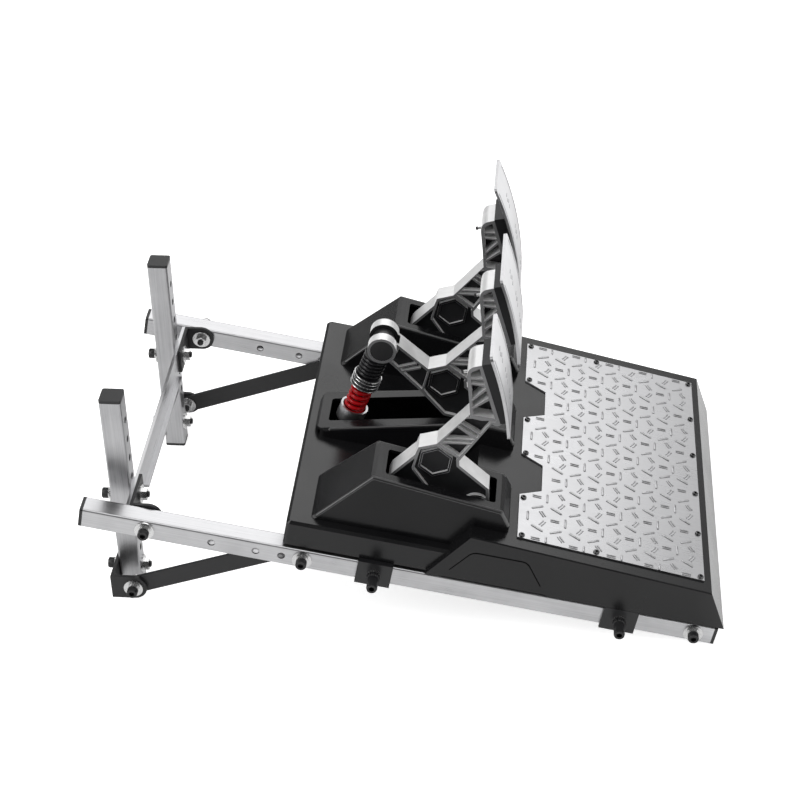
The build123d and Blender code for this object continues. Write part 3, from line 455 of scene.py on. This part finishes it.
SPRING_RED = moulded_plastic("spring_red", (0.27, 0.001, 0.003), (0.42, 0.002, 0.006), (0.22, 0.34),
                             700.0, 0.00003, specular=0.25)
SPRING_BLACK = moulded_plastic("spring_black", (0.006, 0.006, 0.007), (0.012, 0.012, 0.013), (0.2, 0.3),
                               700.0, specular=0.35)
ARM_METAL = {name: cast_arm_metal("cast_" + name + "_metal", x) for name, x in PEDALS.items()}

NODE_FINISH = {
    "left_rail": TUBE_STEEL, "right_rail": TUBE_STEEL, "left_post": POST_STEEL, "right_post": POST_STEEL,
    "front_cross_tube": CROSS_STEEL, "rear_strap": CROSS_STEEL, "tube_end_caps": CAP_BLACK,
    "left_upper_bracket": BRACE_BLACK, "right_upper_bracket": BRACE_BLACK,
    "left_lower_bracket": BRACE_BLACK, "right_lower_bracket": BRACE_BLACK,
    "left_front_bracket": BRACE_BLACK, "right_front_bracket": BRACE_BLACK,
    "left_brace": BRACE_BLACK, "right_brace": BRACE_BLACK,
    "left_clamp_brackets": SCREW_BLACK, "right_clamp_brackets": SCREW_BLACK,
    "frame_bolts": SCREW_BLACK, "frame_washers": ZINC, "frame_nuts": ZINC, "clamp_screws": SCREW_BLACK,
    "base_deck": BASE_BLACK, "base_floor": BASE_BLACK, "tread_plate": TREAD_METAL,
    "clutch_housing": HOUSING_BLACK, "brake_housing": HOUSING_BLACK, "gas_housing": HOUSING_BLACK,
    "pivot_brackets": PIN_STEEL, "pivot_pins": PIN_STEEL, "strut_mount": PIN_STEEL, "knuckle_pin": PIN_BLACK,
    "clutch_spacer": PAD_BLACK, "brake_spacer": PAD_BLACK, "gas_spacer": PAD_BLACK,
    "clutch_face": FACE_METAL, "brake_face": FACE_METAL, "gas_face": FACE_METAL,
    "clutch_arm": ARM_METAL["clutch"], "brake_arm": ARM_METAL["brake"], "gas_arm": ARM_METAL["gas"],
    "strut_cup": STRUT_STEEL, "strut_rod": PIN_BLACK, "strut_collar": PIN_BLACK,
    "strut_red_spring": SPRING_RED, "strut_black_spring": SPRING_BLACK,
}
for node, material in NODE_FINISH.items():
    for material_slot in nodes[node].material_slots:
        material_slot.material = material


# Screws with sockets, ridged heads and threads
SCREW_RADIUS = 0.003
SEAT_GAP = 0.0001
THREAD_TIP = 0.0003
BOLT_THREAD = 0.0057
BOLT_HEAD_RADIUS, BOLT_HEAD_HEIGHT = 0.005, 0.006
CLAMP_SOLID_RADIUS = 0.00525
CLAMP_HEAD_RADIUS, CLAMP_HEAD_HEIGHT = 0.005, 0.014
HEAD_RIDGES = 36


def make_frame_screws():
    bm = bmesh.new()
    for place, length in screw_places("frame_bolts", BOLT_HEAD_RADIUS):
        shape = bmesh.new()
        socket_head(shape, BOLT_HEAD_RADIUS, BOLT_HEAD_HEIGHT, key=0.005, ridges=HEAD_RIDGES, depth=0.003)
        bottom = BOLT_HEAD_HEIGHT + THREAD_TIP - length
        neck = [(0.0, -SEAT_GAP), (SCREW_RADIUS, -SEAT_GAP)]
        turned(shape, neck + thread_profile(SCREW_RADIUS, bottom + BOLT_THREAD, bottom), 16)
        bmesh.ops.translate(shape, vec=(0, 0, -BOLT_HEAD_HEIGHT), verts=shape.verts)
        add_copies(bm, shape, [place])
    piece = finish_piece("frame_socket_screws", bm, "stand", SCREW_BLACK)
    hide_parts("frame_bolts")


def make_clamp_screws():
    """Clamp screws, each with a star nut behind its head."""
    points, groove = 36, 0.84
    top, bottom, chamfer, inner, outer = -0.0138, -0.0186, 0.0008, 0.0054, 0.0062
    nut = [(0, top), (inner, top), (outer, top - chamfer), (outer, bottom + chamfer), (inner, bottom),
           (0, bottom)]
    bm = bmesh.new()
    for place, length in screw_places("clamp_screws", CLAMP_SOLID_RADIUS):
        shape = bmesh.new()
        socket_head(shape, CLAMP_HEAD_RADIUS, CLAMP_HEAD_HEIGHT, key=0.0048, ridges=HEAD_RIDGES, depth=0.004)
        thread = thread_profile(SCREW_RADIUS, -SEAT_GAP, CLAMP_HEAD_HEIGHT + THREAD_TIP - length)
        turned(shape, [(0.0, -SEAT_GAP)] + thread, 16)
        bmesh.ops.translate(shape, vec=(0, 0, -CLAMP_HEAD_HEIGHT), verts=shape.verts)
        for vert in turned(shape, nut, points):
            if round(atan2(vert.co.y, vert.co.x) / tau * points) % 2:
                vert.co = (groove * vert.co.x, groove * vert.co.y, vert.co.z)
        add_copies(bm, shape, [place])
    piece = finish_piece("clamp_socket_screws", bm, "stand", SCREW_BLACK)
    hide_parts("clamp_screws")


# Coil springs of the strut
def coil(bm, mean_radius, wire, start, end, turns, steps=28):
    """A round wire wound about Z, with a closed turn at each end."""
    ring = bmesh.ops.create_circle(bm, segments=10, radius=wire / 2)["verts"]
    place = Matrix.Translation((mean_radius, 0, start + wire / 2)) @ Matrix.Rotation(pi / 2, 4, "X")
    bmesh.ops.transform(bm, matrix=place, verts=ring)
    geometry = ring + [e for e in bm.edges if e.verts[0] in ring and e.verts[1] in ring]
    closed = 0.75
    climb = end - start - wire - 2 * closed * wire
    for share, rise in ((closed, closed * wire), (turns, climb), (closed, closed * wire)):
        count = max(4, round(steps * share))
        geometry = bmesh.ops.spin(bm, geom=geometry, cent=(0, 0, 0), axis=(0, 0, 1), angle=tau * share,
                                  steps=count, dvec=(0, 0, rise / count))["geom_last"]
    bmesh.ops.holes_fill(bm, edges=[e for e in bm.edges if e.is_boundary])


def make_springs():
    red_foot = 0.011
    red = bmesh.new()
    coil(red, mean_radius=0.0086, wire=0.0042, start=red_foot, end=0.051, turns=4.9)
    bmesh.ops.transform(red, matrix=STRUT, verts=red.verts)
    piece = finish_piece("red_coil_spring", red, "strut_lower", SPRING_RED)
    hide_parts("strut_red_spring")
    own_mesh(piece)
    black = bmesh.new()
    coil(black, mean_radius=0.0102, wire=0.0036, start=0.063, end=0.0892, turns=4.2)
    bmesh.ops.transform(black, matrix=STRUT, verts=black.verts)
    piece = finish_piece("black_coil_spring", black, "strut_upper", SPRING_BLACK)
    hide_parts("strut_black_spring")
    ring_radius, bead = 0.0133, 0.0006
    angles = [tau * number / 8 for number in range(9)]
    rings = bmesh.new()
    for level in (0.0516, 0.0556, 0.0596, 0.0628):
        turned(rings, [(ring_radius + bead * cos(angle), level + bead * sin(angle)) for angle in angles], 48)
    bmesh.ops.transform(rings, matrix=STRUT, verts=rings.verts)
    finish_piece("collar_rings", rings, "strut_upper", ZINC)


# Raised pattern and screws of the tread plate. Its edges are given along the rails, and a length along the
# plate is a little more than that.
TREAD_REAR, TREAD_FRONT, TREAD_HALF_WIDTH = 0.3858, 0.5593, 0.155
TREAD_STRETCH = 1.0017
NOTCHES = (0.0576, -0.0623)
NOTCH_END, NOTCH_HALF_WIDTH, NOTCH_TAPER = 0.4065, 0.03125, 0.0119 / 0.0207


def tread_place(x, along, turn=0.0):
    """A place on the plate, from its place across and its length along the rails."""
    middle = Matrix.Translation((x, -(along - TREAD_START) * TREAD_STRETCH, 0))
    return TREAD @ middle @ Matrix.Rotation(radians(turn), 4, "Z")


def in_tread(x, along, across_margin, along_margin):
    """Whether a bar of the pattern is clear of the plate's edges and notches by its margins."""
    clear = (abs(x) < TREAD_HALF_WIDTH - across_margin and
             TREAD_REAR + along_margin < along < TREAD_FRONT - along_margin)
    if along < NOTCH_END + along_margin:
        into = max(0.0, along - along_margin - TREAD_REAR)
        half = NOTCH_HALF_WIDTH - into * NOTCH_TAPER + across_margin
        clear = clear and all(abs(x - middle) > half for middle in NOTCHES)
    return clear


def dash_shape(length, width, height):
    """A low rounded bar lying along X."""
    bm = bmesh.new()
    bmesh.ops.create_cube(bm, size=1.0, matrix=Matrix.Diagonal((length, width, 2 * height, 1)))
    upright = [e for e in bm.edges if abs(e.verts[0].co.z - e.verts[1].co.z) > height]
    bmesh.ops.bevel(bm, geom=upright, offset=0.45 * width, offset_type="OFFSET", affect="EDGES", segments=2,
                    profile=0.5, material=-1)
    rim = list({edge for face in bm.faces if face.normal.z > 0.9 for edge in face.edges})
    bmesh.ops.bevel(bm, geom=rim, offset=0.75 * height, offset_type="OFFSET", affect="EDGES", segments=2,
                    profile=0.5, material=-1)
    return bm


def make_tread_pattern():
    """Bars along the sides of a triangular grid, and a star of three pairs of short bars at its points."""
    pitch, row = 0.03512, 0.03037
    middle_row, middle_along = 0.1213, 0.41197
    pair_reach, pair_side = 0.0078, 0.0012
    singles, shorts, doubles = [], [], []
    for column in range(-9, 2):
        x = middle_row + column * row
        for number in range(-6, 8):
            along = middle_along + number * pitch + (pitch / 2 if column % 2 else 0)
            for turn in (0, 60, 120):
                bar_x = x + pitch / 2 * sin(radians(turn))
                bar_along = along + pitch / 2 * cos(radians(turn))
                margins = (0.0035, 0.006) if turn else (0.0072, 0.0085)
                if not turn and 0.15 < abs(x) < 0.153 and in_tread(0, bar_along, 0, 0.0085):
                    shorts.append(tread_place(0.991 * x, bar_along))
                if in_tread(bar_x, bar_along, *margins):
                    singles.append(tread_place(bar_x, bar_along, turn))
            for turn in (0, 120, 240):
                pair_x = x + pair_reach * sin(radians(turn))
                pair_along = along + pair_reach * cos(radians(turn))
                if in_tread(pair_x, pair_along, 0.0025, 0.005):
                    place = tread_place(pair_x, pair_along, turn + 90)
                    doubles += [place @ Matrix.Translation((0, side * pair_side, 0)) for side in (-1, 1)]
    bm = bmesh.new()
    add_copies(bm, dash_shape(0.0125, 0.0022, 0.0006), singles)
    add_copies(bm, dash_shape(0.008, 0.002, 0.0006), shorts)
    add_copies(bm, dash_shape(0.0085, 0.0013, 0.0005), doubles)
    finish_piece("tread_raised_pattern", bm, "stand", PATTERN_METAL)


def make_tread_screws():
    front = [(x, 0.5557) for x in (-0.151, -0.09, -0.0302, 0.0302, 0.09, 0.151)]
    rear = [(x, 0.3896) for x in (-0.1515, -0.0975, -0.0296, 0.024, 0.0916, 0.1508)]
    sides = [(x, 0.4585) for x in (-0.151, 0.151)]
    shape = bmesh.new()
    socket_head(shape, radius=0.0028, height=0.0016, key=0.0026, ridges=0, depth=0.0012, dome=0.0006)
    bm = bmesh.new()
    add_copies(bm, shape, [tread_place(x, along) for x, along in front + rear + sides])
    finish_piece("tread_screws", bm, "stand", TREAD_SCREW)


# Small screws that stand out behind the pedal heads
def make_head_screws():
    away = Matrix.Rotation(radians(-90), 4, "X")
    for name in PEDALS:
        place = pad_frame(name) @ Matrix.Translation((0, 0.0325, 0.0095)) @ away
        shank = bmesh.new()
        turned(shank, [(0.0, 0.0006), (0.0014, 0.0006), (0.0014, -0.0045), (0, -0.0045)], 16)
        bmesh.ops.transform(shank, matrix=place, verts=shank.verts)
        finish_piece(name + "_head_shank", shank, name + "_pedal", ZINC)
        tip = bmesh.new()
        shape = bmesh.new()
        socket_head(shape, radius=0.0017, height=0.0022, key=0.0015, ridges=0, depth=0.001, dome=0.0004)
        add_copies(tip, shape, [place @ Matrix.Translation((0, 0, 0.0006))])
        finish_piece(name + "_head_screw", tip, name + "_pedal", SCREW_BLACK)


# Curve of the pedal faces, and each one's half width and how far its marks reach up and down
FACE_RADIUS, FACE_THICKNESS = 0.3225, 0.0025
FACE_SIZES = {"clutch": (0.0365, 0.036), "brake": (0.044, 0.038), "gas": (0.0315, 0.056)}


def on_face(name, across, up):
    """A place on the front of a pedal's curved face, with X across, Y up it and Z out of it."""
    front = FACE_RADIUS - FACE_THICKNESS - sqrt(FACE_RADIUS ** 2 - up ** 2)
    tilt = Matrix.Rotation(radians(90), 4, "X") @ Matrix.Rotation(-up / FACE_RADIUS, 4, "X")
    return pad_frame(name) @ Matrix.Translation((across, front, up)) @ tilt


def make_face_marks():
    """Fine dark slots down the middle of each face plate, and a scored line along each edge."""
    slot_pitch, slot_shift, line_inset, line_step = 0.0034, 0.004, 0.0045, 0.004
    for name, (half_width, reach) in FACE_SIZES.items():
        slots = bmesh.new()
        places = []
        for group in (-0.62, 0.0, 0.62):
            for number in range(4):
                up = group * reach + (number - 1.5) * slot_pitch
                places.append(on_face(name, (number % 2 - 0.5) * slot_shift, up))
        add_copies(slots, dash_shape(0.0065, 0.0012, 0.0002), places)
        finish_piece(name + "_face_slots", slots, name + "_pedal", PIN_STEEL)
        lines = bmesh.new()
        places = []
        count = round(2 * reach / line_step)
        for side in (-1, 1):
            for number in range(count + 1):
                up = -reach + 2 * reach * number / count
                places.append(on_face(name, side * (half_width - line_inset), up))
        add_copies(lines, dash_shape(0.0005, 0.0042, 0.00012), places)
        finish_piece(name + "_face_lines", lines, name + "_pedal", PIN_STEEL)


# Base and housings, with lengths along the rails and heights above their middle
def make_panel_groove_shadows():
    """Painted shadow: black strips that stand for the shade in the gap round the shallow panel in each side
    of the base.
    """
    corners = [(0.3323, 0.0120), (0.3465, 0.0325), (0.3500, 0.0355), (0.3545, 0.0364), (0.3935, 0.0364),
               (0.3980, 0.0355), (0.4015, 0.0325), (0.4157, 0.0120)]
    widths = (0.0014, 0.0016, 0.002, 0.0022, 0.0018, 0.0013, 0.001)
    half_width, half_width_height, side_lean, depth, overlap = 0.1683, 0.024, 0.0186, 0.0007, 0.0004
    bm = bmesh.new()
    for side in (-1, 1):
        for (start, low), (end, high), width in zip(corners, corners[1:], widths):
            length = hypot(end - start, high - low)
            up = (low + high) / 2
            face = half_width + side_lean * (half_width_height - up)
            middle = Matrix.Translation((side * face, -(start + end) / 2, up))
            turn = Matrix.Rotation(-atan2(high - low, end - start), 4, "X")
            shape = Matrix.Diagonal((depth, length + overlap, width, 1))
            bmesh.ops.create_cube(bm, size=1.0, matrix=RAILS @ middle @ turn @ shape)
    finish_piece("side_panel_groove_shadows", bm, "stand", GROOVE_SHADOW_BLACK, smooth=False)


def make_housing_edges():
    """Rounded edges along both sides of each housing's top, let into the flank and the top."""
    radius, half_width, half_width_height, lean = 0.0025, 0.0325, 0.029, 4.5 / 55.5
    for name, x in PEDALS.items():
        path = [(0.206, 0.0337), (0.249, 0.0845), (0.368, 0.073), (0.377, 0.06)]
        if name == "brake":
            path[:2] = [(0.204, 0.039), (0.335, 0.074)]
        tops = [Vector((0, high - low, end - start)).normalized()
                for (start, low), (end, high) in zip(path, path[1:])]
        bm = bmesh.new()
        for side in (-1, 1):
            flank = Vector((side, 0, lean)).normalized()
            centres = []
            for number, (along, up) in enumerate(path):
                corner = Vector((x + side * (half_width - (up - half_width_height) * lean), -along, up))
                planes = [flank] + tops[max(0, number - 1):number + 1]
                reach = [plane.dot(corner) - radius for plane in planes]
                if len(planes) == 2:
                    planes.append(planes[0].cross(planes[1]))
                    reach.append(planes[2].dot(corner))
                centres.append(RAILS @ (Matrix(planes).inverted() @ Vector(reach)))
            for centre in centres:
                bmesh.ops.create_icosphere(bm, subdivisions=3, radius=radius,
                                           matrix=Matrix.Translation(centre))
            for start, end in zip(centres, centres[1:]):
                turn = (end - start).to_track_quat("Z", "Y").to_matrix().to_4x4()
                bmesh.ops.create_cone(bm, cap_ends=True, segments=24, radius1=radius, radius2=radius,
                                      depth=(end - start).length,
                                      matrix=Matrix.Translation((start + end) / 2) @ turn)
        finish_piece(name + "_housing_edges", bm, "stand", EDGE_BLACK)


def make_hexagon_trim():
    """Thin bright edges inside and outside the hexagon rim on each side of an arm."""
    hexagon_ahead, hexagon_up, beside = 0.301, 0.0995, 0.0094
    for name, x in PEDALS.items():
        bm = bmesh.new()
        for side in (-1, 1):
            middle = RAILS @ Matrix.Translation((x + side * beside, -hexagon_ahead, hexagon_up))
            for radius in (0.0161, 0.0141):
                out = Matrix.Translation((0, 0, radius * cos(radians(30))))
                bar = out @ Matrix.Diagonal((0.0004, radius, 0.0003, 1))
                for number in range(6):
                    turn = Matrix.Rotation(radians(60 * number + 30), 4, "X")
                    bmesh.ops.create_cube(bm, size=1.0, matrix=middle @ turn @ bar)
        finish_piece(name + "_hexagon_trim", bm, name + "_pedal", PIN_STEEL, smooth=False)


# Room round the object
def add_floor():
    bm = bmesh.new()
    bmesh.ops.create_grid(bm, x_segments=1, y_segments=1, size=6.0)
    mesh = bpy.data.meshes.new("floor")
    bm.to_mesh(mesh)
    bm.free()
    floor = bpy.data.objects.new("floor", mesh)
    bpy.context.collection.objects.link(floor)
    material, tree, shader = new_material("pale_floor", (0.92, 0.92, 0.92), 0.0, 0.9, 0.1)
    rays = tree.nodes.new("ShaderNodeLightPath")
    glossy, seen = (rays, "Is Glossy Ray"), (rays, "Is Camera Ray")
    # Painted light: in reflections the floor glows, brighter ahead of the base, and takes a darker colour
    # than the camera sees
    ahead = ranged(tree, coordinates(tree, "Object"), "Y", -0.27, -0.36, 0.2, 1.0)
    mirrored = calculated(tree, "MULTIPLY", glossy, (ahead, "Result"))
    colour = mixed_colour(tree, glossy, (0.92, 0.92, 0.92), (0.72, 0.72, 0.72))
    tree.links.new(colour, shader.inputs["Base Color"])
    level = mixed_level(tree, seen, (mirrored, "Value"), 0.7)
    shader.inputs["Emission Color"].default_value = (1, 1, 1, 1)
    link(tree, level, "Result", shader, "Emission Strength")
    mesh.materials.append(material)


# Shades of the room in reflections: the part of the direction, where a shade starts and ends, and its levels
WORLD_SHADES = (("Z", 0.62, 0.95, 0.9, 0.35), ("Z", 0.47, 0.34, 1.0, 0.5), ("X", 0.1, -0.5, 0.9, 0.15),
                ("Y", 0.3, 0.6, 0.9, 0.45))


def add_world():
    """A pale room that is white to look at, and in reflections shades off overhead and towards the front."""
    world = bpy.data.worlds.new("pale_room")
    bpy.context.scene.world = world
    world.use_nodes = True
    tree = world.node_tree
    background = tree.nodes["Background"]
    background.inputs["Color"].default_value = (1, 1, 1, 1)
    direction = coordinates(tree, "Generated")
    level = None
    for part, start, end, high, low in WORLD_SHADES:
        shade = ranged(tree, direction, part, start, end, high, low)
        shade.interpolation_type = "SMOOTHSTEP"
        shade = (shade, "Result")
        level = (calculated(tree, "MULTIPLY", level, shade), "Value") if level else shade
    rays = tree.nodes.new("ShaderNodeLightPath")
    mirrored = calculated(tree, "MAXIMUM", (rays, "Is Glossy Ray"), (rays, "Is Transmission Ray"))
    inside = mixed_level(tree, (mirrored, "Value"), 0.45, level)
    shown = mixed_level(tree, (rays, "Is Camera Ray"), (inside, "Result"), 1.0)
    link(tree, shown, "Result", background, "Strength")


def add_lamp(name, place, aim, power, size):
    data = bpy.data.lights.new(name, "AREA")
    data.energy = power
    data.shape = "RECTANGLE"
    data.size, data.size_y = size
    lamp = bpy.data.objects.new(name, data)
    lamp.location = place
    lamp.rotation_euler = (Vector(aim) - Vector(place)).to_track_quat("-Z", "Y").to_euler()
    bpy.context.collection.objects.link(lamp)


# Each lamp's place, what it is aimed at, its power and its size
LAMPS = {
    "key_lamp": ((-0.7, 1.5, 1.5), (0, -0.3, 0.1), 13, (1.0, 1.0)),
    "front_lamp": ((-0.6, -1.6, 1.2), (0, 0, 0.1), 8, (1.4, 1.0)),
    "top_lamp": ((-0.4, -0.2, 1.9), (0, -0.3, 0.1), 8, (1.2, 1.2)),
    "far_lamp": ((1.7, -0.1, 1.5), (0, -0.15, 0.1), 7.5, (1.8, 0.9)),
    "rear_lamp": ((-0.95, 1.8, 0.65), (-0.1, 0, 0.15), 8, (0.9, 0.5)),
}

add_camera()
add_floor()
add_world()
for lamp_name, lamp in LAMPS.items():
    add_lamp(lamp_name, *lamp)
bpy.context.scene.view_settings.view_transform = "Standard"

make_frame_screws()
make_clamp_screws()
make_springs()
make_tread_pattern()
make_tread_screws()
make_head_screws()
make_face_marks()
make_hexagon_trim()
make_panel_groove_shadows()
make_housing_edges()
